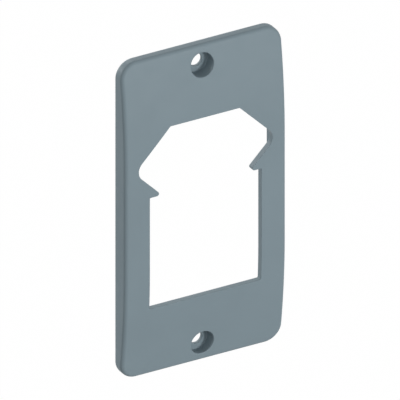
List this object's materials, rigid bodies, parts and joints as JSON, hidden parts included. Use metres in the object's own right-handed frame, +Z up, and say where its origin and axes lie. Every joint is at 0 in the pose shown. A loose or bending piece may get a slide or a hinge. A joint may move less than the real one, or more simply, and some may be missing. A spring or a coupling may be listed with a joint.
{
  "type": "switch cover plate",
  "caption": "Upright rectangular cover plate with a crowned front, rounded corners, a large shaped opening for a switch and a sunk screw hole near each end.",
  "frame": {"origin": "middle of the line between the two screw holes, on the plane of the rim's back face", "axes": "+Z up along the plate's length, the front looks along -Y, +X to the right as seen from the front"},
  "size_m": [0.06, 0.0077, 0.1154],
  "materials": {
    "grey_blue_plastic": "satin, moulded"
  },
  "bodies": {
    "root": {"cover_plate": "grey_blue_plastic"}
  },
  "joints": []
}
